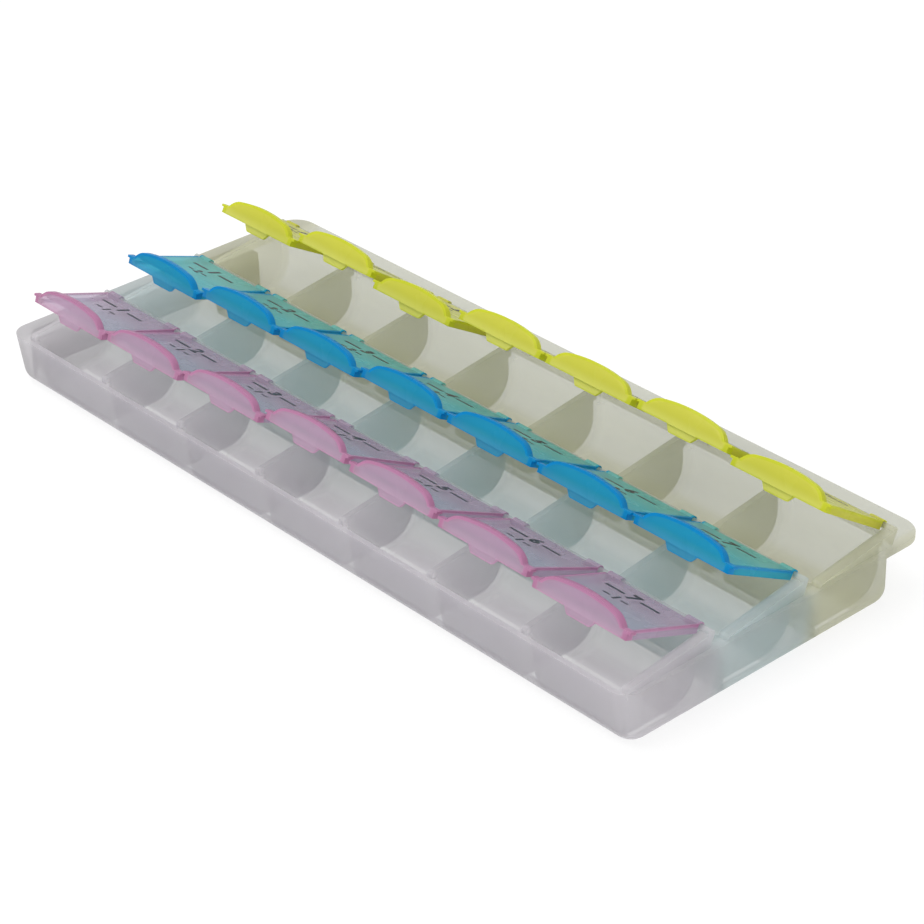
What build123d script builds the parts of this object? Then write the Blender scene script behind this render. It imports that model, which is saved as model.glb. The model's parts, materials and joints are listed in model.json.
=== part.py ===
from build123d import *
import math
import os

# Cells: seven days along X, three times of day along Y, all in millimetres
day_count = 7
row_pitch = 28.6
row_colours = ("pink", "blue", "yellow")

# Tray walls, measured from the flat underside at Z = 0
rim_height = 14.0
rim_thickness = 1.4
floor_thickness = 1.4
wall = 1.4
partition_thickness = 1.6
cell_depth = 23.0
front_draft = 1.9
cell_corner_radius = 1.8
foot_radius = 3.1
scoop_radius = 8.0

# Outer form of the tray
right_margin = 2.1
left_margin = 8.6
flange_reach = 11.1
right_corner_radius = 5.0
left_corner_radius = 4.8
flange_corner_radius = 6.5
bottom_edge_radius = 4.4
overcut = 1.0

# Hinges: clips on each lid snap on to a rail that runs along the top of the web behind the row
hinge_height = 18.6
rail_radius = 0.8
rail_clearance = 0.06
clip_wall = 0.7
clip_length = 4.0
clip_mouth = 100.0
window_side_gap = 0.4
window_depth_gap = 0.6
closed_tilt = 7.6
ear_seat_gap = 0.15
fin_nose_radius = 0.8

# Lid: a plate on a shallow skirt, with an arched front wall and a finger tab
lid_length = 23.4
lid_width = 27.2
lid_side_gap = 0.6
lid_thickness = 1.0
skirt_thickness = 1.0
skirt_depth = 2.2
front_wall_thickness = 1.2
plate_back_gap = 0.45
arch_rise = 3.0
arch_band = 0.9
arch_band_depth = 2.2
ear_flat = 1.6
ear_reach = 1.1
tab_width = 9.0
tab_depth = 2.5
tab_corner_radius = 1.2

# How far each lid stands open at rest, in degrees above level, from the left end to the right
pink_tilts = (19.5, 21.5, 24.0, 28.5, 26.5, 24.5, 21.5)
blue_tilts = (20.5, 24.5, 25.5, 28.0, 28.5, 28.0, 28.5)
yellow_tilts = (31.0, 36.5, 31.5, 38.5, 38.5, 39.0, 34.5)

# Places that follow from the sizes above
row_count = len(row_colours)
cell_pitch = lid_width + 2 * lid_side_gap + partition_thickness
row_length = day_count * cell_pitch
cell_width = cell_pitch - partition_thickness
tray_right = row_length / 2 + right_margin
tray_left = -row_length / 2 - left_margin
row_centres = [(row - (row_count - 1) / 2) * row_pitch for row in range(row_count)]
day_centres = [(day - (day_count - 1) / 2) * cell_pitch for day in range(day_count)]
hinge_offset = cell_depth / 2 + wall / 2
tray_front = row_centres[0] - cell_depth / 2 - wall
tray_back = row_centres[-1] + cell_depth / 2 + wall
flange_back = row_centres[-1] + hinge_offset + flange_reach
block_left = -row_length / 2 + partition_thickness / 2 - wall
lean = front_draft / rim_height
curl = scoop_radius + wall
slot_top = rim_height - rim_thickness
clip_inner = rail_radius + rail_clearance
clip_outer = clip_inner + clip_wall
clip_centre = lid_width / 2 - clip_length / 2
plate_top = skirt_depth / 2
plate_bottom = plate_top - lid_thickness
skirt_bottom = plate_top - skirt_depth
plate_back = -rail_radius - plate_back_gap
plate_length = lid_length + plate_back
arch_end = lid_width / 2 - ear_flat

os.makedirs("parts", exist_ok=True)

# One cell as a solid: drafted front, flat floor, and a scooped foot below the hinge
with BuildPart() as cell:
    with BuildSketch(Plane.YZ) as cell_section:
        with BuildLine():
            Polyline((-cell_depth / 2 + lean * (rim_height - floor_thickness), floor_thickness),
                     (-cell_depth / 2 - lean * overcut, rim_height + overcut),
                     (cell_depth / 2, rim_height + overcut), (cell_depth / 2, floor_thickness), close=True)
        make_face()
        foot = cell_section.vertices().group_by(Axis.Y)[0].sort_by(Axis.X)
        fillet(foot[-1], scoop_radius)
        fillet(foot[0], foot_radius)
    extrude(amount=cell_width / 2, both=True)
    side_edges = cell.faces().filter_by(Axis.X).edges()
    fillet(side_edges.filter_by(lambda edge: edge.center().Z < rim_height + overcut / 2), cell_corner_radius)

# One fin: it tops a partition and slopes as a closed lid does
with BuildPart() as fin:
    with BuildSketch(Plane.YZ) as fin_section:
        with BuildLine():
            slope = math.tan(math.radians(closed_tilt))
            seat_at_hinge = hinge_height + plate_bottom / math.cos(math.radians(closed_tilt)) - ear_seat_gap
            nose_height = seat_at_hinge - slope * (hinge_offset + cell_depth / 2)
            Polyline((-cell_depth / 2, slot_top), (-cell_depth / 2, nose_height), (hinge_offset, seat_at_hinge),
                     (cell_depth / 2 + wall, seat_at_hinge), (cell_depth / 2 + wall, slot_top), close=True)
        make_face()
        fillet(fin_section.vertices().sort_by(Axis.X)[:2].sort_by(Axis.Y)[-1], fin_nose_radius)
    extrude(amount=partition_thickness / 2, both=True)

# Tray: a round-cornered block, hollowed by twenty-one scooped cells
with BuildPart() as tray:
    for height, inset in ((0, front_draft), (rim_height, 0)):
        with BuildSketch(Plane.XY.offset(height)):
            with BuildLine():
                Polyline((tray_left, tray_front + inset), (tray_right, tray_front + inset),
                         (tray_right, tray_back), (tray_left, tray_back), close=True)
            make_face()
    loft(ruled=True)
    for end, radius in ((-1, right_corner_radius), (0, left_corner_radius)):
        upright = tray.edges().filter_by(lambda edge: rim_height / 4 < edge.center().Z < rim_height * 3 / 4)
        fillet(upright.group_by(Axis.X)[end], radius)
    fillet(tray.faces().sort_by(Axis.Z)[0].edges(), bottom_edge_radius)

    # The back of the block follows the scoop of the last row's cells
    with BuildSketch(Plane.YZ.offset(tray_left)):
        with BuildLine():
            curl_start = (tray_back - curl, 0)
            curl_end = (tray_back, curl)
            RadiusArc(curl_start, curl_end, -curl)
            Polyline(curl_end, (tray_back + overcut, curl), (tray_back + overcut, -overcut),
                     (curl_start[0], -overcut), curl_start)
        make_face()
    extrude(amount=tray_right - tray_left, mode=Mode.SUBTRACT)

    # Flange behind the last row, level with the rim
    with BuildSketch(Plane.XY.offset(rim_height - rim_thickness)) as flange:
        with BuildLine():
            Polyline((tray_left, 0), (tray_right, 0), (tray_right, flange_back),
                     (tray_left, flange_back), close=True)
        make_face()
        fillet(flange.vertices().group_by(Axis.Y)[-1], flange_corner_radius)
    extrude(amount=rim_thickness)

    # Slots between the rows keep the walls even; they are open underneath
    for centre in row_centres[:-1]:
        web_back = centre + cell_depth / 2 + wall
        next_front = centre + row_pitch - cell_depth / 2 - wall
        with BuildSketch(Plane.YZ.offset(tray_left + wall)):
            with BuildLine():
                curl_start = (web_back - curl, 0)
                curl_end = (web_back, curl)
                RadiusArc(curl_start, curl_end, -curl)
                Polyline(curl_end, (web_back, slot_top), (next_front + lean * rim_thickness, slot_top),
                         (next_front + lean * rim_height, 0), (next_front + lean * rim_height, -overcut),
                         (curl_start[0], -overcut), curl_start)
            make_face()
        extrude(amount=tray_right - tray_left - 2 * wall, mode=Mode.SUBTRACT)

    # The wide left end is hollow too, between the first column and the outer wall
    with BuildSketch(Plane.XY.offset(-overcut)):
        with BuildLine():
            inner_left = tray_left + wall
            inner_front = tray_front + front_draft + wall
            corner_cut = bottom_edge_radius - wall
            Polyline((inner_left, inner_front + corner_cut), (inner_left + corner_cut, inner_front),
                     (block_left, inner_front), (block_left, tray_back - curl),
                     (inner_left, tray_back - curl), close=True)
        make_face()
    extrude(amount=slot_top + overcut, mode=Mode.SUBTRACT)

    # Webs behind the lids of each row, and a fin on every partition
    for centre in row_centres:
        with BuildSketch(Plane.XY.offset(slot_top)):
            with Locations((0, centre + hinge_offset)):
                Rectangle(row_length + partition_thickness, wall)
        extrude(amount=hinge_height - slot_top)
    with GridLocations(cell_pitch, row_pitch, day_count + 1, row_count):
        add(fin.part)
    with GridLocations(cell_pitch, row_pitch, day_count, row_count):
        add(cell.part, mode=Mode.SUBTRACT)

    # Windows in the webs leave the clips room to turn, and the rails bridge them
    window_inner = clip_centre - clip_length / 2 - window_side_gap
    window_width = cell_width / 2 - window_inner
    with GridLocations(cell_pitch, row_pitch, day_count, row_count):
        with GridLocations(2 * window_inner + window_width, 0, 2, 1):
            with Locations((0, hinge_offset, hinge_height)):
                Box(window_width, 2 * wall, 2 * (clip_outer + window_depth_gap), mode=Mode.SUBTRACT)
    for centre in row_centres:
        with BuildSketch(Plane.YZ):
            with Locations((centre + hinge_offset, hinge_height)):
                Circle(rail_radius)
        extrude(amount=row_length / 2 + partition_thickness / 2, both=True)

tray.part.label = "tray"
export_step(tray.part, "parts/tray.step")

# Lid, closed and level, with its hinge axis on X and its front towards -Y
with BuildPart() as lid:
    with BuildSketch(Plane.XY.offset(plate_bottom)):
        with Locations((0, plate_back - plate_length / 2)):
            Rectangle(lid_width, plate_length)
        with Locations((0, -lid_length + arch_band_depth / 2)):
            Rectangle(lid_width + 2 * ear_reach, arch_band_depth)
    extrude(amount=lid_thickness)
    with BuildSketch(Plane.XY.offset(skirt_bottom)):
        with GridLocations(lid_width - skirt_thickness, 0, 2, 1):
            with Locations((0, -clip_outer - (lid_length - clip_outer) / 2)):
                Rectangle(skirt_thickness, lid_length - clip_outer)
    extrude(amount=skirt_depth)

    # Arched front wall with the finger tab below it, and the thicker band along the arch
    with BuildSketch(Plane.XZ.offset(lid_length - front_wall_thickness)) as front_wall:
        with BuildLine():
            ThreePointArc((arch_end, plate_top), (0, plate_top + arch_rise), (-arch_end, plate_top))
            Polyline((-arch_end, plate_top), (-lid_width / 2, plate_top), (-lid_width / 2, skirt_bottom),
                     (lid_width / 2, skirt_bottom), (lid_width / 2, plate_top), (arch_end, plate_top))
        make_face()
        with Locations((0, skirt_bottom - tab_depth / 2)):
            Rectangle(tab_width, tab_depth)
        fillet(front_wall.vertices().group_by(Axis.Y)[0], tab_corner_radius)
    extrude(amount=front_wall_thickness)
    with BuildSketch(Plane.XZ.offset(lid_length - arch_band_depth)):
        with BuildLine():
            ThreePointArc((arch_end, plate_top), (0, plate_top + arch_rise), (-arch_end, plate_top))
            Line((-arch_end, plate_top), (-arch_end + arch_band, plate_top))
            ThreePointArc((-arch_end + arch_band, plate_top), (0, plate_top + arch_rise - arch_band),
                          (arch_end - arch_band, plate_top))
            Line((arch_end - arch_band, plate_top), (arch_end, plate_top))
        make_face()
    extrude(amount=arch_band_depth)

    # Two clips, open below, that snap on to the rail
    for side in (-1, 1):
        with BuildSketch(Plane.YZ.offset(side * clip_centre)):
            Circle(clip_outer)
            with Locations(((plate_back - clip_wall) / 2, (plate_top + plate_bottom) / 2)):
                Rectangle(clip_wall - plate_back, lid_thickness)
            Circle(clip_inner, mode=Mode.SUBTRACT)
            with BuildLine():
                reach = 2 * clip_outer
                half_mouth = reach * math.tan(math.radians(clip_mouth / 2))
                Polyline((0, 0), (half_mouth, -reach), (-half_mouth, -reach), close=True)
            make_face(mode=Mode.SUBTRACT)
        extrude(amount=clip_length / 2, both=True)

for centre, colour, tilts in zip(row_centres, row_colours, (pink_tilts, blue_tilts, yellow_tilts)):
    for day, tilt in enumerate(tilts):
        hinge = Location((day_centres[day], centre + hinge_offset, hinge_height), (-tilt, 0, 0))
        with BuildPart() as placed_lid:
            with Locations(hinge):
                add(lid.part)
        placed_lid.part.label = f"{colour}_lid_{day + 1}"
        export_step(placed_lid.part, f"parts/{placed_lid.part.label}.step")
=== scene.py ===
"""A weekly pill organiser: a milky tray and three rows of seven tinted lids, round its CAD frame."""

import json
import math

import bmesh
import bpy
import numpy as np
from mathutils import Matrix, Vector


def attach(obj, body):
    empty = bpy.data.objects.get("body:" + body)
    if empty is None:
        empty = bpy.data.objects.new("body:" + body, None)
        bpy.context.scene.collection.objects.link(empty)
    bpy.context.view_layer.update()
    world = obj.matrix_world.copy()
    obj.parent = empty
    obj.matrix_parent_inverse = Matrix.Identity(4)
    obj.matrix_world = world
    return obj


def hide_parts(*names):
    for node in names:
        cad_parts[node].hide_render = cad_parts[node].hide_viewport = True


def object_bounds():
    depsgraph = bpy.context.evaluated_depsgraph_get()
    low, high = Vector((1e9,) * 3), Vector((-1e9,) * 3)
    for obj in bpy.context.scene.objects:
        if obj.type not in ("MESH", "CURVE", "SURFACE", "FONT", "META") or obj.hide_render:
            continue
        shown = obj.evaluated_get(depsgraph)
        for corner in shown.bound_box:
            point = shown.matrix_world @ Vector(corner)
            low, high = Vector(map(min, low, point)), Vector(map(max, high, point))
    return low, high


bl_info = {
    "name": "Weekly pill organiser",
    "version": (1, 0, 0),
    "blender": (4, 5, 0),
    "location": "View3D > Sidebar > Pill organiser",
    "description": "Dresses a pill organiser's CAD frame in moulded plastics, with numbers and a studio",
    "category": "Object",
}

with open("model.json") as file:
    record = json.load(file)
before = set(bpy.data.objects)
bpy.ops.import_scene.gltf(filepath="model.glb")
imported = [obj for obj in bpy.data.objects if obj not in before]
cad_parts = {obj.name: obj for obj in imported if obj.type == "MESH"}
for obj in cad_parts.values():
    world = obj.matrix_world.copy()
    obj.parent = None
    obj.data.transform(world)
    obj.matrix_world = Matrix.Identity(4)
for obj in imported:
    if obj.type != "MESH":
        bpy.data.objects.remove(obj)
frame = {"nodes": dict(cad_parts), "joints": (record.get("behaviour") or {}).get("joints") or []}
CAD_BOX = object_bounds()

MM = 0.001
ROWS = ("pink", "blue", "yellow")
DAYS = range(1, 8)
LID_ZONES = ("plate", "near_hinge", "wall", "edge")

# The lid in its own frame, closed and level: hinge axis on X, front towards -Y, in millimetres. It turns on
# its CAD solid's rail and lies LID_TURN degrees lower at rest. It is a little wider than the solid and
# rounder in front, as the photograph shows it.
CLOSED_TILT = 7.6
LID_TURN = 0.5
LID_HALF_WIDTH = 13.9
LID_LENGTH = 23.4
PLATE_TOP = 0.8
PLATE_BOTTOM = -0.2
PLATE_BACK = -1.25
SKIRT_BOTTOM = -1.25
SKIRT_THICKNESS = 1.0
WALL_THICKNESS = 1.2
EAR_HALF_WIDTH = 14.7
EAR_BOTTOM = 0.2
ARCH_HALF_WIDTH = 13.0
ARCH_TOP = 4.1
ARCH_RADIUS = 45.0
SHOULDER_RADIUS = 5.5
ARCH_BAND = 0.65
ARCH_BAND_DEPTH = 1.8
TAB_DEPTH = 1.7
TAB_ROOT = 0.5
TAB_THICKNESS = 0.7
TAB_HALF_WIDTH = 4.7
TAB_TIP_HALF_WIDTH = 3.3
TAB_CORNER = 0.8
TAB_CORNER_INSET = 0.35
CLIP_INNER = 0.86
CLIP_OUTER = 1.15
CLIP_LENGTH = 4.0
CLIP_MOUTH = 100.0
CLIP_CENTRE = 11.6

# Places on the lid that both its form and its tint follow
FRONT = -LID_LENGTH
WALL_BACK = FRONT + WALL_THICKNESS
BAND_BACK = FRONT + ARCH_BAND_DEPTH
TAB_TIP = SKIRT_BOTTOM - TAB_DEPTH

# The arch's crown turns about a point below the lid, and each shoulder about a point inside the crown
ARCH_CENTRE = ARCH_TOP - ARCH_RADIUS
SHOULDER_X = ARCH_HALF_WIDTH - SHOULDER_RADIUS
SHOULDER_Z = ARCH_CENTRE + math.sqrt((ARCH_RADIUS - SHOULDER_RADIUS) ** 2 - SHOULDER_X ** 2)

# The middles of the printed lines and how deep the ink sits in the plate, in millimetres, and how far the
# strokes spread, as a share of the type's size
DAY_PLACE = (-0.6, -6.4)
ROW_PLACE = (-1.6, -10.8)
INK_SUNK = 0.02
PRINT_SPREAD = 0.045

# The tray's rim and right end, in metres: the last fins' outer faces in the CAD frame, the place just inside
# the end wall's face that they are moved out to, and the radius of its front corner. A point within
# FACE_TOLERANCE of a face lies on it, and the fins start at FIN_FOOT.
RIM = 14.0 * MM
FIN_FOOT = RIM + 0.1 * MM
END_FIN = 105.8 * MM
END_REACH = 106.95 * MM
END_CORNER = 5.0 * MM
FACE_TOLERANCE = 0.02 * MM

# Points of a form, and of the marks, that lie nearer than this are one, in millimetres. Faces that lean less
# than the flat angle are made whole, edges past the sharp angle are rounded, and shading breaks past the
# smooth angle, in degrees.
MERGE = 0.002
MARK_MERGE = 0.001
FLAT_ANGLE = 0.5
SHARP_ANGLE = 35
SMOOTH_ANGLE = 40

# Where the milk's painted tint, the coloured light that the blue and yellow lids throw into it, changes along
# Y, and how far in from the front, the last fins and the underside the inner walls begin, in metres
PAINTED_BLUE_LIGHT_RAMP = (-18.5 * MM, -10.5 * MM)
PAINTED_YELLOW_LIGHT_RAMP = (10.0 * MM, 18.5 * MM)
INNER_FROM_FRONT = (1.5 * MM, 3.0 * MM)
INNER_FROM_FINS = (0.5 * MM, 2.0 * MM)
INNER_FROM_BELOW = (1.0 * MM, 2.5 * MM)

# The milk's shade: its clouds, and the painted shade taken off it at the ends and at the inner walls
CLOUD_SHADE = (0.95, 1.05)
END_PAINTED_SHADE_DEPTH = 3.0 * MM
END_PAINTED_SHADE = -0.14
# Painted shade on the inner walls of the cells
INNER_PAINTED_SHADE = -0.02

# Shares of the light. Clear is what passes straight: through the tray's outer and inner walls, each row's
# plate and the foot of its front wall, and the lids' edges. The top of a front wall passes WALL_TOP_CLEAR of
# what its foot does. LID_PASSED is the colour that the plate and the front wall give it. Glow is the share
# of the rest that comes through milky.
TRAY_GLOW = 0.75
TRAY_CLEAR = (0.34, 0.62)
LID_GLOW = 0.4
LID_CLEAR = {"pink": (0.6, 0.56), "blue": (0.42, 0.48), "yellow": (0.15, 0.1)}
LID_PASSED = {"pink": ("F0ECF5", "F2E0EC"), "blue": ("B4F0F2", "98DEF2"), "yellow": ("EAEC6C", "EAEC6C")}
WALL_TOP_CLEAR = 0.8
EDGE_CLEAR = 0.12

# The line of deeper tint along the lid's lowest edge: its height in millimetres and its share of the edge
LOW_LINE = (0.45, 0.2)
LOW_LINE_TINT = 0.55

# Widths of the patterns, on the lid in millimetres and elsewhere in metres. A mould's satin grain and the
# fibre of paper are far finer, and are drawn this coarse so that they show.
TRAY_CLOUD = 38.0 * MM
TRAY_GRAIN = 1.1 * MM
LID_CLOUD = 6.0
INK_PATCH = 1.5 * MM
PAPER_FIBRE = 9.0 * MM

# The stage, in metres: the lamps' places and sides, and how much of its white the paper shows the camera
KEY_PLACE = (-0.25, -0.15, 0.9)
KEY_SIZE = 0.9
FILL_PLACE = (0.75, -0.85, 0.55)
FILL_SIZE = 0.8
PAPER_WHITE = 0.8

# The photograph's camera, fitted to the hinge ends and the tray's edges that it shows
CAMERA_PLACE = (0.45705, -0.38855, 0.36664)
CAMERA_AZIMUTH = 48.96
CAMERA_ELEVATION = 30.95
CAMERA_ROLL = -1.63
CAMERA_LENS = 115.68
SENSOR_WIDTH = 36.0


def linear(hex_colour, alpha=1.0):
    """Linear RGBA of an sRGB hex colour: up to 0.04045 divided by 12.92, past it on a 2.4 power curve."""
    channels = np.array([int(hex_colour[i:i + 2], 16) / 255 for i in (0, 2, 4)])
    curved = np.where(channels <= 0.04045, channels / 12.92, ((channels + 0.055) / 1.055) ** 2.4)
    return (*curved.tolist(), alpha)


# Settings


def colour_property(name, description, hex_colour):
    """A colour that the panel shows, with its default given in sRGB hex."""
    return bpy.props.FloatVectorProperty(
        name=name, description=description, subtype="COLOR", size=4, min=0, max=1, default=linear(hex_colour))


class TraySettings(bpy.types.PropertyGroup):
    """Colours and edge of the milky tray."""

    front_colour: colour_property("Front colour", "Milky plastic round the front row", "DEDBDE")
    # Painted light: the middle and back colours carry the tint that the blue and yellow lids' light throws
    # into the milk
    middle_colour_with_painted_blue_light: colour_property("Middle colour", "Milky plastic lit through the blue lids", "D8DEDF")
    back_colour_with_painted_yellow_light: colour_property("Back colour", "Milky plastic lit through the yellow lids", "DCDBC8")
    edge_radius: bpy.props.FloatProperty(
        name="Edge radius", description="Round on the tray's moulded edges", default=0.25 * MM, min=0,
        unit="LENGTH")


class LidSettings(bpy.types.PropertyGroup):
    """Colours and edge of the tinted lids: the flat plate, the upright front wall and the edges."""

    pink_plate: colour_property("Pink plate", "Flat part of the front row's lids", "BAC2CC")
    pink_near_hinge: colour_property("Pink by the hinge", "Flat part by the front row's hinges", "C6B4C2")
    pink_wall: colour_property("Pink wall", "Upright front of the front row's lids", "CDB2C6")
    pink_edge: colour_property("Pink edge", "Deepest tint of the front row, at its edges", "BE86A8")
    blue_plate: colour_property("Blue plate", "Flat part of the middle row's lids", "74C6D0")
    blue_near_hinge: colour_property("Blue by the hinge", "Flat part by the middle row's hinges", "8CC6C0")
    blue_wall: colour_property("Blue wall", "Upright front of the middle row's lids", "2AAACE")
    blue_edge: colour_property("Blue edge", "Deepest tint of the middle row, at its edges", "0090CC")
    yellow_plate: colour_property("Yellow plate", "Flat part of the back row's lids", "D2D456")
    yellow_near_hinge: colour_property("Yellow by the hinge", "Flat part by the back row's hinges", "D0D05C")
    yellow_wall: colour_property("Yellow wall", "Upright front of the back row's lids", "D4D254")
    yellow_edge: colour_property("Yellow edge", "Deepest tint of the back row, at its edges", "D2D63A")
    edge_radius: bpy.props.FloatProperty(
        name="Edge radius", description="Round on the lids' moulded edges", default=0.16 * MM, min=0,
        unit="LENGTH")


class MarkSettings(bpy.types.PropertyGroup):
    """The printed numbers on the lids: the day above and the row below it."""

    day_size: bpy.props.FloatProperty(
        name="Day size", description="Type size of the day's number", default=5.0 * MM, min=0, unit="LENGTH")
    row_size: bpy.props.FloatProperty(
        name="Row size", description="Type size of the row's number", default=3.4 * MM, min=0, unit="LENGTH")
    ink_height: bpy.props.FloatProperty(
        name="Ink height", description="How far the ink stands above the plate", default=0.04 * MM,
        unit="LENGTH")
    ink_colour: colour_property("Ink", "Black pad-printing ink", "2B2C33")


class StageSettings(bpy.types.PropertyGroup):
    """Floor and lamps."""

    floor_size: bpy.props.FloatProperty(
        name="Floor size", description="Side of the square floor", default=6.0, min=1, unit="LENGTH")
    sky_strength: bpy.props.FloatProperty(
        name="Sky strength", description="Even light from all round", default=0.62, min=0)
    key_power: bpy.props.FloatProperty(
        name="Key power", description="Power of the large lamp above", default=9.0, min=0, unit="POWER")
    fill_power: bpy.props.FloatProperty(
        name="Fill power", description="Power of the lamp by the camera", default=4.0, min=0, unit="POWER")


# Nodes and materials


def add_node(tree, kind, inputs=None, **settings):
    """Adds a node, sets its properties, and gives each named or numbered input a value or a link."""
    node = tree.nodes.new(kind)
    for name, value in settings.items():
        setattr(node, name, value)
    for name, value in (inputs or {}).items():
        if isinstance(value, bpy.types.NodeSocket):
            tree.links.new(value, node.inputs[name])
        else:
            node.inputs[name].default_value = value
    return node


def new_material(name):
    """An empty node material and its tree."""
    material = bpy.data.materials.new(name)
    material.use_nodes = True
    material.node_tree.nodes.clear()
    return material, material.node_tree


def milky_polypropylene_moulded(settings):
    """Natural polypropylene, injection moulded: milky, satin, and it glows where light comes through.

    The colour that the tinted lids throw into the walls behind each row is painted light in the milk's
    colour, which shifts from lavender grey in front to sea grey and olive grey behind, with the slow
    cloudiness of a thin moulding. The inner walls are clearer than the outer ones. The ends carry painted
    shade and are the greyest, and the inner walls carry a little painted shade.
    """
    material, tree = new_material("milky_polypropylene_moulded")
    place = add_node(tree, "ShaderNodeTexCoord").outputs["Object"]
    across, along, height = add_node(tree, "ShaderNodeSeparateXYZ", {"Vector": place}).outputs
    beside = add_node(tree, "ShaderNodeMath", {0: across}, operation="ABSOLUTE").outputs[0]
    front = CAD_BOX[0][1]

    # Each mask follows one measure, and goes smoothly from 0 at the first place to 1 at the second
    mask = {
        "behind_front": (along, front + INNER_FROM_FRONT[0], front + INNER_FROM_FRONT[1]),
        "between_ends": (beside, END_FIN - INNER_FROM_FINS[0], END_FIN - INNER_FROM_FINS[1]),
        "above_floor": (height, *INNER_FROM_BELOW),
        "middle": (along, *PAINTED_BLUE_LIGHT_RAMP),
        "back": (along, *PAINTED_YELLOW_LIGHT_RAMP),
        # Painted shade: the ends are greyed from the last fins outwards
        "end": (beside, END_FIN, END_FIN + END_PAINTED_SHADE_DEPTH),
    }
    for name, (measure, start, full) in mask.items():
        mask[name] = add_node(
            tree, "ShaderNodeMapRange", {"Value": measure, "From Min": start, "From Max": full},
            interpolation_type="SMOOTHSTEP").outputs["Result"]
    inner = mask["behind_front"]
    for name in ("between_ends", "above_floor"):
        inner = add_node(tree, "ShaderNodeMath", {0: inner, 1: mask[name]}, operation="MULTIPLY").outputs[0]

    cloud = add_node(
        tree, "ShaderNodeTexNoise",
        {"Vector": place, "Scale": 1 / TRAY_CLOUD, "Detail": 3.0, "Roughness": 0.5}).outputs["Fac"]
    grain = add_node(
        tree, "ShaderNodeTexNoise",
        {"Vector": place, "Scale": 1 / TRAY_GRAIN, "Detail": 2.0, "Roughness": 0.6}).outputs["Fac"]
    # Painted light: the coloured light of the blue and yellow lids is blended into the milk along Y
    tint = settings.front_colour
    for name, colour in (("middle", settings.middle_colour_with_painted_blue_light), ("back", settings.back_colour_with_painted_yellow_light)):
        tint = add_node(
            tree, "ShaderNodeMix", {0: mask[name], 6: tint, 7: colour}, data_type="RGBA").outputs[2]
    cloud_and_painted_shade = add_node(
        tree, "ShaderNodeMapRange",
        {"Value": cloud, "To Min": CLOUD_SHADE[0], "To Max": CLOUD_SHADE[1]}).outputs["Result"]
    # Painted shade, taken off the milk at the ends and at the inner walls
    for where, change in ((mask["end"], END_PAINTED_SHADE), (inner, INNER_PAINTED_SHADE)):
        cloud_and_painted_shade = add_node(
            tree, "ShaderNodeMath", {0: where, 1: change, 2: cloud_and_painted_shade}, operation="MULTIPLY_ADD").outputs[0]
    milk = add_node(tree, "ShaderNodeHueSaturation", {"Value": cloud_and_painted_shade, "Color": tint}).outputs["Color"]

    rough = add_node(tree, "ShaderNodeMapRange", {"Value": grain, "To Min": 0.34, "To Max": 0.46})
    bump = add_node(tree, "ShaderNodeBump", {"Strength": 0.08, "Distance": 0.05 * MM, "Height": grain})
    surface = add_node(
        tree, "ShaderNodeBsdfPrincipled",
        {"Base Color": milk, "Roughness": rough.outputs["Result"], "IOR": 1.49,
         "Normal": bump.outputs["Normal"]})
    glow = add_node(tree, "ShaderNodeBsdfTranslucent", {"Color": milk})
    clear = add_node(tree, "ShaderNodeBsdfTransparent", {"Color": linear("F4F5F4")})
    lit = add_node(tree, "ShaderNodeMixShader", {0: TRAY_GLOW, 1: surface.outputs[0], 2: glow.outputs[0]})
    clear_share = add_node(
        tree, "ShaderNodeMapRange",
        {"Value": inner, "To Min": TRAY_CLEAR[0], "To Max": TRAY_CLEAR[1]}).outputs["Result"]
    seen = add_node(tree, "ShaderNodeMixShader", {0: clear_share, 1: lit.outputs[0], 2: clear.outputs[0]})
    add_node(tree, "ShaderNodeOutputMaterial", {"Surface": seen.outputs[0]})
    return material


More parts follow.
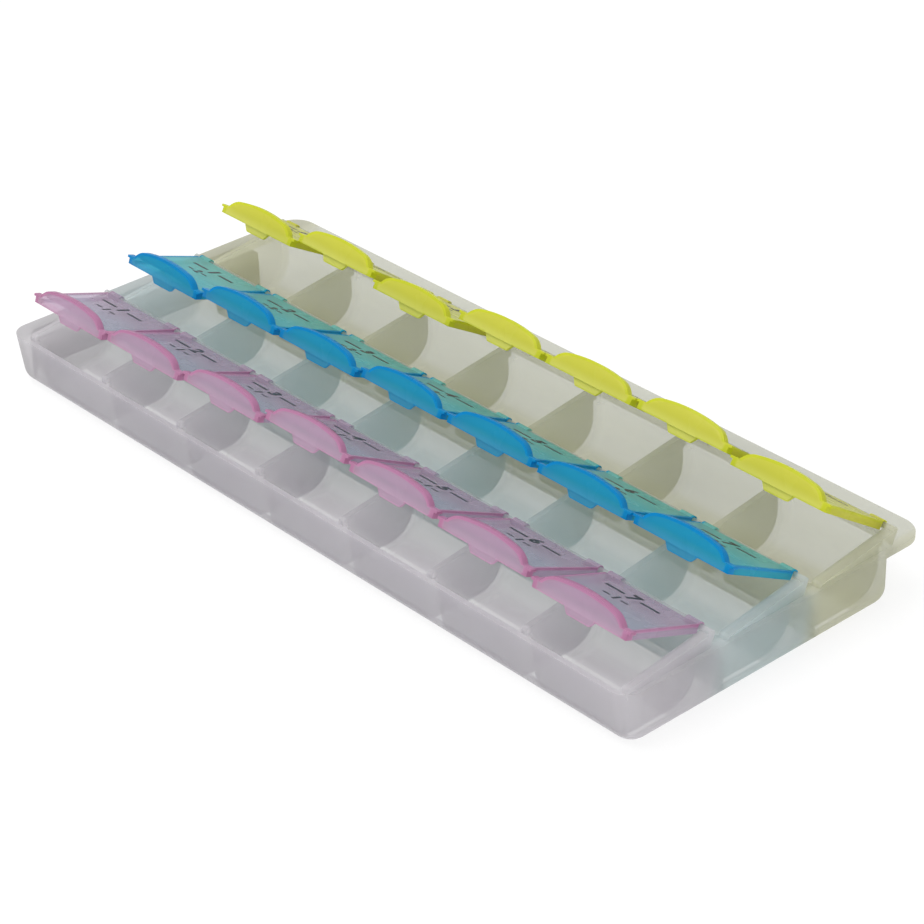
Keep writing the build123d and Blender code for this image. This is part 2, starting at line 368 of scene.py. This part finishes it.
def tinted_polypropylene_moulded(row, settings):
    """Tinted polypropylene, injection moulded and glossy: see-through, and deep in colour at the edges.

    A tinted sheet carries its light sideways, so its edges and the arch's band are dense and saturated, the
    plate is thin and pale, and the front wall is painted lighter towards the tab, painted light where its
    foot lies in shade. It reads the lid's own coordinates.
    """
    plate, near_hinge, wall, edge = (getattr(settings, f"{row}_{zone}") for zone in LID_ZONES)
    clear_plate, clear_wall = LID_CLEAR[row]
    passed_plate, passed_wall = map(linear, LID_PASSED[row])
    material, tree = new_material(f"tinted_polypropylene_moulded_{row}")
    place = add_node(tree, "ShaderNodeAttribute", attribute_name="lid_place").outputs["Vector"]
    x, y, z = add_node(tree, "ShaderNodeSeparateXYZ", {"Vector": place}).outputs
    across = add_node(tree, "ShaderNodeMath", {0: x}, operation="ABSOLUTE").outputs[0]

    # The arch's band lies outside a smaller arch: past its crown's radius, or past a shoulder's
    folded = add_node(tree, "ShaderNodeCombineXYZ", {"X": across, "Z": z}).outputs[0]
    from_crown, from_shoulder = (
        add_node(tree, "ShaderNodeVectorMath", {0: folded, 1: centre}, operation="DISTANCE").outputs["Value"]
        for centre in ((0, 0, ARCH_CENTRE), (SHOULDER_X, 0, SHOULDER_Z)))

    # Each mask follows one measure, and goes smoothly from 0 at the first place to 1 at the second
    mask = {
        "crown": (from_crown, ARCH_RADIUS - ARCH_BAND - 0.15, ARCH_RADIUS - ARCH_BAND + 0.1),
        "shoulder": (from_shoulder, SHOULDER_RADIUS - ARCH_BAND - 0.15, SHOULDER_RADIUS - ARCH_BAND + 0.1),
        "past_crown": (across, SHOULDER_X, SHOULDER_X + 0.5),
        "above_plate": (z, PLATE_TOP - 0.4, PLATE_TOP),
        "arch_foot": (across, ARCH_HALF_WIDTH - 0.9, ARCH_HALF_WIDTH),
        "band_depth": (y, BAND_BACK + 0.3, BAND_BACK),
        "front": (y, WALL_BACK + 0.15, WALL_BACK - 0.1),
        # Painted light: the front wall lightens from here towards its foot
        "painted_light_to_foot": (z, PLATE_TOP + 0.5, SKIRT_BOTTOM - 0.5),
        "tab": (across, TAB_HALF_WIDTH + 0.1, TAB_TIP_HALF_WIDTH),
        "side": (across, LID_HALF_WIDTH - 0.5, LID_HALF_WIDTH - 0.2),
        "side_top": (z, PLATE_TOP - 0.8, PLATE_TOP - 0.4),
        "skirt": (across, LID_HALF_WIDTH - 1.0, LID_HALF_WIDTH - 0.7),
        "hinge": (y, FRONT * 0.8, FRONT * 0.2),
    }
    for name, (measure, start, full) in mask.items():
        mask[name] = add_node(
            tree, "ShaderNodeMapRange", {"Value": measure, "From Min": start, "From Max": full},
            interpolation_type="SMOOTHSTEP").outputs["Result"]
    band = mask["shoulder"]
    for operation, name in (
            ("MULTIPLY", "past_crown"), ("MAXIMUM", "crown"), ("MULTIPLY", "above_plate"),
            ("MAXIMUM", "arch_foot"), ("MULTIPLY", "band_depth")):
        band = add_node(tree, "ShaderNodeMath", {0: band, 1: mask[name]}, operation=operation).outputs[0]

    # The tab narrows to its tip; below the wall its edge is the lowest line of the lid
    lowest = add_node(
        tree, "ShaderNodeMapRange",
        {"Value": mask["tab"], "To Min": SKIRT_BOTTOM, "To Max": TAB_TIP}).outputs["Result"]
    above_lowest = add_node(tree, "ShaderNodeMath", {0: z, 1: lowest}, operation="SUBTRACT").outputs[0]
    line = add_node(
        tree, "ShaderNodeMapRange",
        {"Value": above_lowest, "From Min": LOW_LINE[0], "From Max": LOW_LINE[1]},
        interpolation_type="SMOOTHSTEP").outputs["Result"]
    line = add_node(tree, "ShaderNodeMath", {0: line, 1: mask["front"]}, operation="MULTIPLY").outputs[0]
    side = add_node(
        tree, "ShaderNodeMath", {0: mask["side"], 1: mask["side_top"]}, operation="MULTIPLY").outputs[0]
    rim = add_node(tree, "ShaderNodeMath", {0: side, 1: band}, operation="MAXIMUM").outputs[0]
    rim = add_node(
        tree, "ShaderNodeMath", {0: line, 1: LOW_LINE_TINT, 2: rim}, operation="MULTIPLY_ADD",
        use_clamp=True).outputs[0]

    # Painted light: the front wall is lightened towards its foot and tab, where it lies in shade
    wall_with_painted_light = add_node(
        tree, "ShaderNodeHueSaturation", {"Saturation": 0.88, "Value": 1.22, "Color": wall}).outputs["Color"]
    front_wall_painted_lighter_below = add_node(
        tree, "ShaderNodeMix", {0: mask["painted_light_to_foot"], 6: wall, 7: wall_with_painted_light}, data_type="RGBA").outputs[2]
    colour = plate
    for share, other in (
            (mask["hinge"], near_hinge), (mask["skirt"], wall), (mask["front"], front_wall_painted_lighter_below), (rim, edge)):
        colour = add_node(tree, "ShaderNodeMix", {0: share, 6: colour, 7: other}, data_type="RGBA").outputs[2]
    passed = add_node(
        tree, "ShaderNodeMix", {0: mask["front"], 6: passed_plate, 7: passed_wall},
        data_type="RGBA").outputs[2]

    cloud = add_node(
        tree, "ShaderNodeTexNoise",
        {"Vector": place, "Scale": 1 / LID_CLOUD, "Detail": 2.0, "Roughness": 0.5}).outputs["Fac"]
    rough = add_node(tree, "ShaderNodeMapRange", {"Value": cloud, "To Min": 0.16, "To Max": 0.34})
    bump = add_node(tree, "ShaderNodeBump", {"Strength": 0.1, "Distance": 0.05 * MM, "Height": cloud})
    surface = add_node(
        tree, "ShaderNodeBsdfPrincipled",
        {"Base Color": colour, "Roughness": rough.outputs["Result"], "IOR": 1.49, "Specular IOR Level": 0.25,
         "Normal": bump.outputs["Normal"]})
    glow = add_node(tree, "ShaderNodeBsdfTranslucent", {"Color": colour})
    clear = add_node(tree, "ShaderNodeBsdfTransparent", {"Color": passed})
    lit = add_node(tree, "ShaderNodeMixShader", {0: LID_GLOW, 1: surface.outputs[0], 2: glow.outputs[0]})

    # The front wall clears towards its foot, and the edges stay dense
    clearing = add_node(
        tree, "ShaderNodeMapRange",
        {"Value": z, "From Min": PLATE_TOP + 1.5, "From Max": TAB_TIP,
         "To Min": clear_wall * WALL_TOP_CLEAR, "To Max": clear_wall}).outputs["Result"]
    clear_share = clear_plate
    for where, share in ((mask["front"], clearing), (rim, EDGE_CLEAR)):
        clear_share = add_node(
            tree, "ShaderNodeMapRange",
            {"Value": where, "To Min": clear_share, "To Max": share}).outputs["Result"]
    seen = add_node(tree, "ShaderNodeMixShader", {0: clear_share, 1: lit.outputs[0], 2: clear.outputs[0]})
    add_node(tree, "ShaderNodeOutputMaterial", {"Surface": seen.outputs[0]})
    return material


def black_ink_pad_printed(colour):
    """Pad-printing ink: a thin matt film, a little thinner in patches, where it greys."""
    material, tree = new_material("black_ink_pad_printed")
    place = add_node(tree, "ShaderNodeTexCoord").outputs["Object"]
    patch = add_node(
        tree, "ShaderNodeTexNoise",
        {"Vector": place, "Scale": 1 / INK_PATCH, "Detail": 3.0, "Roughness": 0.6}).outputs["Fac"]
    thin = add_node(
        tree, "ShaderNodeMapRange", {"Value": patch, "From Min": 0.45, "From Max": 0.75},
        interpolation_type="SMOOTHSTEP").outputs["Result"]
    film = add_node(
        tree, "ShaderNodeMix", {0: thin, 6: colour, 7: linear("4A4A52")}, data_type="RGBA").outputs[2]
    rough = add_node(tree, "ShaderNodeMapRange", {"Value": patch, "To Min": 0.45, "To Max": 0.65})
    surface = add_node(
        tree, "ShaderNodeBsdfPrincipled",
        {"Base Color": film, "Roughness": rough.outputs["Result"], "IOR": 1.5})
    add_node(tree, "ShaderNodeOutputMaterial", {"Surface": surface.outputs[0]})
    return material


def white_paper_sweep(strength):
    """Seamless studio paper: lamps light it as white paper, and the camera sees it near white."""
    material, tree = new_material("white_paper_sweep")
    place = add_node(tree, "ShaderNodeTexCoord").outputs["Object"]
    fibre = add_node(
        tree, "ShaderNodeTexNoise", {"Vector": place, "Scale": 1 / PAPER_FIBRE, "Detail": 4.0}).outputs["Fac"]
    paper = add_node(
        tree, "ShaderNodeMix", {0: fibre, 6: linear("F2F2F2"), 7: linear("F6F6F6")},
        data_type="RGBA").outputs[2]
    matt = add_node(tree, "ShaderNodeBsdfDiffuse", {"Color": paper, "Roughness": 0.6})
    white = add_node(tree, "ShaderNodeEmission", {"Color": linear("FFFFFF"), "Strength": 1.0})
    rays = add_node(tree, "ShaderNodeLightPath").outputs
    seen = rays["Is Camera Ray"]
    for kind in ("Is Glossy Ray", "Is Transmission Ray"):
        seen = add_node(tree, "ShaderNodeMath", {0: seen, 1: rays[kind]}, operation="MAXIMUM").outputs[0]
    share = add_node(tree, "ShaderNodeMath", {0: seen, 1: strength}, operation="MULTIPLY").outputs[0]
    mixed = add_node(tree, "ShaderNodeMixShader", {0: share, 1: matt.outputs[0], 2: white.outputs[0]})
    add_node(tree, "ShaderNodeOutputMaterial", {"Surface": mixed.outputs[0]})
    return material


# Meshes


def new_piece(name, mesh, material, body):
    """Puts a finished mesh, already in its place, into the scene as a piece that rides on a CAD body."""
    piece = bpy.data.objects.new(name, mesh)
    bpy.context.scene.collection.objects.link(piece)
    mesh.materials.clear()
    mesh.materials.append(material)
    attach(piece, body)
    return piece


def end_fins_to_wall(mesh):
    """Moves the outer faces of the last fins out to just inside the end wall's face, and round its corner.

    They go to X = END_REACH; within a corner's radius R of the front they follow
    X = END_REACH - R + sqrt(R^2 - (front + R - Y)^2).
    """
    points = mesh_points(mesh)
    corner = CAD_BOX[0][1] + END_CORNER
    into_corner = np.clip(corner - points[:, 1], 0, END_CORNER)
    outer = END_REACH - END_CORNER + np.sqrt(END_CORNER ** 2 - into_corner ** 2)
    at_face = (points[:, 0] > END_FIN - FACE_TOLERANCE) & (points[:, 0] < END_FIN + FACE_TOLERANCE)
    fin = at_face & (points[:, 2] > FIN_FOOT)
    points[fin, 0] = outer[fin]
    mesh.vertices.foreach_set("co", points.ravel())


def rounded(source, name, radius, merge):
    """A mesh with its points merged, its flat faces made whole and its sharp edges rounded."""
    form = bmesh.new()
    form.from_mesh(source)
    bmesh.ops.remove_doubles(form, verts=form.verts, dist=merge)
    bmesh.ops.dissolve_limit(
        form, angle_limit=math.radians(FLAT_ANGLE), verts=form.verts, edges=form.edges)
    limit = math.radians(SHARP_ANGLE)
    sharp = [edge for edge in form.edges if edge.is_manifold and edge.calc_face_angle() > limit]
    bmesh.ops.bevel(
        form, geom=sharp, offset=radius, segments=2, profile=0.5, affect="EDGES", clamp_overlap=True)
    bmesh.ops.triangulate(form, faces=[face for face in form.faces if len(face.verts) > 4])
    bmesh.ops.recalc_face_normals(form, faces=form.faces)
    mesh = bpy.data.meshes.new(name)
    form.to_mesh(mesh)
    form.free()
    mesh.shade_smooth()
    mesh.set_sharp_from_angle(angle=math.radians(SMOOTH_ANGLE))
    return mesh


def mesh_points(mesh):
    """The mesh's vertices as one array."""
    points = np.empty(len(mesh.vertices) * 3, np.float32)
    mesh.vertices.foreach_get("co", points)
    return points.reshape(-1, 3)


def lid_to_row(row, day):
    """The matrix from a lid's own frame to its place at rest: turned open about X, then put on its hinge."""
    joint = next(joint for joint in frame["joints"] if joint["child"] == f"{row}_lid_{day}")
    tilt = -joint["range_deg"][0] - CLOSED_TILT - LID_TURN
    turn = Matrix.Rotation(math.radians(-tilt), 4, "X")
    return Matrix.Translation(joint["pos_m"]) @ turn @ Matrix.Scale(MM, 4)


def prism(outline, axis, low, high):
    """A closed outline carried straight along axis 0, 1 or 2 from low to high: one quad a side and two caps.

    The outline gives the other two coordinates in their own order.
    """
    count = len(outline)
    ends = [np.insert(np.asarray(outline, float), axis, place, axis=1) for place in (low, high)]
    here = np.arange(count)
    beside = np.roll(here, -1)
    sides = np.stack([here, beside, beside + count, here + count], axis=1)
    caps = [here[::-1].tolist(), (here + count).tolist()]
    mesh = bpy.data.meshes.new("prism")
    mesh.from_pydata(np.concatenate(ends).tolist(), [], sides.tolist() + caps)
    form = bmesh.new()
    form.from_mesh(mesh)
    bmesh.ops.recalc_face_normals(form, faces=form.faces)
    form.to_mesh(mesh)
    form.free()
    return mesh


def box(low, high):
    """A rectangle carried along Z between two corners."""
    (x0, y0, z0), (x1, y1, z1) = low, high
    return prism([(x0, y0), (x1, y0), (x1, y1), (x0, y1)], 2, z0, z1)


def arc(centre, radius, start, end, steps):
    """Points on a circle between two angles in degrees: centre plus radius times (cos a, sin a)."""
    turn = np.radians(np.linspace(start, end, steps))
    return np.stack([centre[0] + radius * np.cos(turn), centre[1] + radius * np.sin(turn)], axis=1)


def arch(inset):
    """The arch's outline, inset by a distance: a flat crown, two round shoulders and feet at the plate."""
    lean = math.degrees(math.asin(SHOULDER_X / (ARCH_RADIUS - SHOULDER_RADIUS)))
    foot = np.array([[ARCH_HALF_WIDTH - inset, PLATE_BOTTOM]])
    shoulder = arc((SHOULDER_X, SHOULDER_Z), SHOULDER_RADIUS - inset, start=0, end=90 - lean, steps=10)
    shoulder = shoulder[shoulder[:, 1] > PLATE_BOTTOM + 0.05]
    crown = arc((0, ARCH_CENTRE), ARCH_RADIUS - inset, start=90 - lean, end=90 + lean, steps=17)[1:-1]
    mirrored = np.array([-1, 1])
    return np.concatenate([foot, shoulder, crown, shoulder[::-1] * mirrored, foot * mirrored])


def joined(meshes):
    """One closed mesh from several that overlap, with no walls left inside it."""
    holders = [bpy.data.objects.new("form", mesh) for mesh in meshes]
    for holder in holders:
        bpy.context.scene.collection.objects.link(holder)
    first = holders[0]
    for other in holders[1:]:
        union = first.modifiers.new("union", "BOOLEAN")
        union.operation = "UNION"
        union.solver = "EXACT"
        union.object = other
    mesh = bpy.data.meshes.new_from_object(first.evaluated_get(bpy.context.evaluated_depsgraph_get()))
    for holder in holders:
        bpy.data.objects.remove(holder)
    for source in meshes:
        bpy.data.meshes.remove(source)
    return mesh


def lid_form(radius):
    """One lid in millimetres: plate, skirts, arched front wall and band, ears, finger tab and two C clips."""
    corner = (TAB_TIP_HALF_WIDTH - TAB_CORNER_INSET, TAB_TIP + TAB_CORNER)
    tab = np.concatenate([
        [(TAB_HALF_WIDTH, SKIRT_BOTTOM + TAB_ROOT), (TAB_HALF_WIDTH, SKIRT_BOTTOM)],
        arc(corner, TAB_CORNER, start=-30, end=-90, steps=6)])
    tab = np.concatenate([tab, tab[::-1] * (-1, 1)])
    mouth = 270 - CLIP_MOUTH / 2
    clip = np.concatenate([
        arc((0, 0), CLIP_OUTER, start=mouth, end=mouth - 360 + CLIP_MOUTH, steps=21),
        arc((0, 0), CLIP_INNER, start=mouth - 360 + CLIP_MOUTH, end=mouth, steps=21)])
    forms = [
        box((-LID_HALF_WIDTH, FRONT, PLATE_BOTTOM), (LID_HALF_WIDTH, PLATE_BACK, PLATE_TOP)),
        box((-EAR_HALF_WIDTH, FRONT, EAR_BOTTOM), (EAR_HALF_WIDTH, BAND_BACK, PLATE_TOP)),
        box((-LID_HALF_WIDTH, FRONT, SKIRT_BOTTOM), (LID_HALF_WIDTH, WALL_BACK, PLATE_TOP)),
        prism(arch(0), 1, FRONT, WALL_BACK),
        prism(np.concatenate([arch(0), arch(ARCH_BAND)[::-1]]), 1, FRONT, BAND_BACK),
        prism(tab, 1, WALL_BACK - TAB_THICKNESS, WALL_BACK),
    ]
    for side in (-1, 1):
        edge = side * LID_HALF_WIDTH
        inner = edge - side * SKIRT_THICKNESS
        forms.append(box((min(edge, inner), FRONT, SKIRT_BOTTOM), (max(edge, inner), -CLIP_OUTER, PLATE_TOP)))
        low = side * CLIP_CENTRE - CLIP_LENGTH / 2
        forms.append(prism(clip, 0, low, low + CLIP_LENGTH))
    return rounded(joined(forms), "lid", radius / MM, MERGE)


def printed_line(text, size, height):
    """One line of type as a mesh, centred on the origin, its print side up and its foot at Z 0."""
    curve = bpy.data.curves.new("line", "FONT")
    curve.body = text
    curve.size = size
    curve.align_x = "CENTER"
    curve.align_y = "CENTER"
    curve.extrude = height / 2
    curve.offset = size * PRINT_SPREAD
    curve.resolution_u = 3
    holder = bpy.data.objects.new("line", curve)
    bpy.context.scene.collection.objects.link(holder)
    solid = holder.evaluated_get(bpy.context.evaluated_depsgraph_get())
    mesh = bpy.data.meshes.new_from_object(solid)
    mesh.transform(Matrix.Translation((0, 0, height / 2)))
    bpy.data.objects.remove(holder)
    bpy.data.curves.remove(curve)
    return mesh


# Operators


class OBJECT_OT_mould_tray(bpy.types.Operator):
    """Dress the tray in milky plastic, with rounded edges"""

    bl_idname = "pill_organiser.mould_tray"
    bl_label = "Mould the tray"

    def execute(self, context):
        settings = context.scene.pill_tray
        plastic = milky_polypropylene_moulded(settings)
        cast = frame["nodes"]["tray"].data.copy()
        end_fins_to_wall(cast)
        form = rounded(cast, "tray_shell", settings.edge_radius, MERGE * MM)
        shell = new_piece("tray_shell", form, plastic, "tray")
        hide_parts("tray")
        return {"FINISHED"}


class OBJECT_OT_mould_lids(bpy.types.Operator):
    """Dress the twenty-one lids in tinted plastic with rounded edges"""

    bl_idname = "pill_organiser.mould_lids"
    bl_label = "Mould the lids"

    def execute(self, context):
        settings = context.scene.pill_lids
        form = lid_form(settings.edge_radius)
        place = mesh_points(form)
        form.attributes.new("lid_place", "FLOAT_VECTOR", "POINT").data.foreach_set("vector", place.ravel())
        for row in ROWS:
            plastic = tinted_polypropylene_moulded(row, settings)
            for day in DAYS:
                node = f"{row}_lid_{day}"
                mesh = form.copy()
                mesh.transform(lid_to_row(row, day))
                shell = new_piece(f"{node}_shell", mesh, plastic, node)
                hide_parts(node)
        return {"FINISHED"}


class OBJECT_OT_print_numbers(bpy.types.Operator):
    """Print the day's number and the row's number on every lid"""

    bl_idname = "pill_organiser.print_numbers"
    bl_label = "Print the numbers"

    def execute(self, context):
        settings = context.scene.pill_marks
        ink = black_ink_pad_printed(settings.ink_colour)
        height = settings.ink_height + INK_SUNK * MM
        for order, row in enumerate(ROWS, start=1):
            for day in DAYS:
                marks = bmesh.new()
                for text, size, (x, y) in (
                        (f"\u2014 {day} \u2014", settings.day_size, DAY_PLACE),
                        (f"\u2013 {order} \u2013", settings.row_size, ROW_PLACE)):
                    line = printed_line(text, size, height)
                    line.transform(Matrix.Translation((x, y, PLATE_TOP - INK_SUNK)) @ Matrix.Scale(1 / MM, 4))
                    marks.from_mesh(line)
                    bpy.data.meshes.remove(line)
                bmesh.ops.remove_doubles(marks, verts=marks.verts, dist=MARK_MERGE)
                bmesh.ops.recalc_face_normals(marks, faces=marks.faces)
                mesh = bpy.data.meshes.new(f"{row}_lid_{day}_numbers")
                marks.to_mesh(mesh)
                marks.free()
                mesh.transform(lid_to_row(row, day))
                new_piece(mesh.name, mesh, ink, f"{row}_lid_{day}")
        return {"FINISHED"}


class OBJECT_OT_set_stage(bpy.types.Operator):
    """Lay the paper floor, hang the soft lamps and set the camera"""

    bl_idname = "pill_organiser.set_stage"
    bl_label = "Set the stage"

    def execute(self, context):
        settings = context.scene.pill_stage
        half = settings.floor_size / 2
        corners = [(-half, -half, 0), (half, -half, 0), (half, half, 0), (-half, half, 0)]
        mesh = bpy.data.meshes.new("floor")
        mesh.from_pydata(corners, [], [(0, 1, 2, 3)])
        mesh.materials.append(white_paper_sweep(PAPER_WHITE))
        floor = bpy.data.objects.new("floor", mesh)
        context.scene.collection.objects.link(floor)
        self.add_sky(context.scene, settings.sky_strength)
        self.add_lamp("key_lamp", KEY_PLACE, KEY_SIZE, settings.key_power)
        self.add_lamp("fill_lamp", FILL_PLACE, FILL_SIZE, settings.fill_power)
        self.add_camera(context.scene)
        return {"FINISHED"}

    def add_sky(self, scene, strength):
        """Even white light from all round, at full white where it is seen."""
        world = bpy.data.worlds.new("studio")
        world.use_nodes = True
        tree = world.node_tree
        tree.nodes.clear()
        rays = add_node(tree, "ShaderNodeLightPath").outputs
        seen = add_node(
            tree, "ShaderNodeMath", {0: rays["Is Camera Ray"], 1: rays["Is Transmission Ray"]},
            operation="MAXIMUM").outputs[0]
        level = add_node(
            tree, "ShaderNodeMapRange", {"Value": seen, "To Min": strength, "To Max": 1.0}).outputs["Result"]
        sky = add_node(tree, "ShaderNodeBackground", {"Color": linear("FFFFFF"), "Strength": level})
        add_node(tree, "ShaderNodeOutputWorld", {"Surface": sky.outputs[0]})
        scene.world = world

    def add_lamp(self, name, place, size, power):
        """A square soft lamp that faces the middle of the object."""
        lamp = bpy.data.lights.new(name, "AREA")
        lamp.size = size
        lamp.energy = power
        holder = bpy.data.objects.new(name, lamp)
        holder.location = place
        holder.rotation_mode = "QUATERNION"
        holder.rotation_quaternion = (-Vector(place)).to_track_quat("-Z", "Y")
        bpy.context.scene.collection.objects.link(holder)

    def add_camera(self, scene):
        """The photograph's camera: it looks along the azimuth and down by the elevation, then rolls."""
        azimuth, elevation, roll = map(math.radians, (CAMERA_AZIMUTH, CAMERA_ELEVATION, CAMERA_ROLL))
        flat = math.cos(elevation)
        ahead = Vector((-math.sin(azimuth) * flat, math.cos(azimuth) * flat, -math.sin(elevation)))
        level = Vector((math.cos(azimuth), math.sin(azimuth), 0))
        up = level.cross(ahead)
        right = level * math.cos(roll) + up * math.sin(roll)
        above = up * math.cos(roll) - level * math.sin(roll)
        lens = bpy.data.cameras.new("camera")
        lens.lens = CAMERA_LENS
        lens.sensor_width = SENSOR_WIDTH
        lens.clip_start = 0.05
        lens.clip_end = 20
        camera = bpy.data.objects.new("camera", lens)
        turn = Matrix((right, above, -ahead)).transposed()
        camera.matrix_world = Matrix.Translation(CAMERA_PLACE) @ turn.to_4x4()
        scene.collection.objects.link(camera)
        scene.camera = camera
        scene.view_settings.view_transform = "Standard"


class VIEW3D_PT_pill_organiser(bpy.types.Panel):
    """The organiser's settings and the operators that build it"""

    bl_label = "Pill organiser"
    bl_space_type = "VIEW_3D"
    bl_region_type = "UI"
    bl_category = "Pill organiser"

    def draw(self, context):
        scene = context.scene
        for settings, operator in (
                (scene.pill_tray, OBJECT_OT_mould_tray), (scene.pill_lids, OBJECT_OT_mould_lids),
                (scene.pill_marks, OBJECT_OT_print_numbers), (scene.pill_stage, OBJECT_OT_set_stage)):
            area = self.layout.box()
            for name in settings.bl_rna.properties.keys():
                if name not in ("rna_type", "name"):
                    area.prop(settings, name)
            area.operator(operator.bl_idname)


CLASSES = (
    TraySettings, LidSettings, MarkSettings, StageSettings,
    OBJECT_OT_mould_tray, OBJECT_OT_mould_lids, OBJECT_OT_print_numbers, OBJECT_OT_set_stage,
    VIEW3D_PT_pill_organiser,
)
SETTINGS = {
    "pill_tray": TraySettings,
    "pill_lids": LidSettings,
    "pill_marks": MarkSettings,
    "pill_stage": StageSettings,
}


def register():
    for cls in CLASSES:
        bpy.utils.register_class(cls)
    for name, group in SETTINGS.items():
        setattr(bpy.types.Scene, name, bpy.props.PointerProperty(type=group))


def unregister():
    for name in SETTINGS:
        delattr(bpy.types.Scene, name)
    for cls in reversed(CLASSES):
        bpy.utils.unregister_class(cls)


def main():
    """Registers the add-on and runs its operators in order."""
    register()
    bpy.ops.pill_organiser.mould_tray()
    bpy.ops.pill_organiser.mould_lids()
    bpy.ops.pill_organiser.print_numbers()
    bpy.ops.pill_organiser.set_stage()


if __name__ == "__main__":
    main()
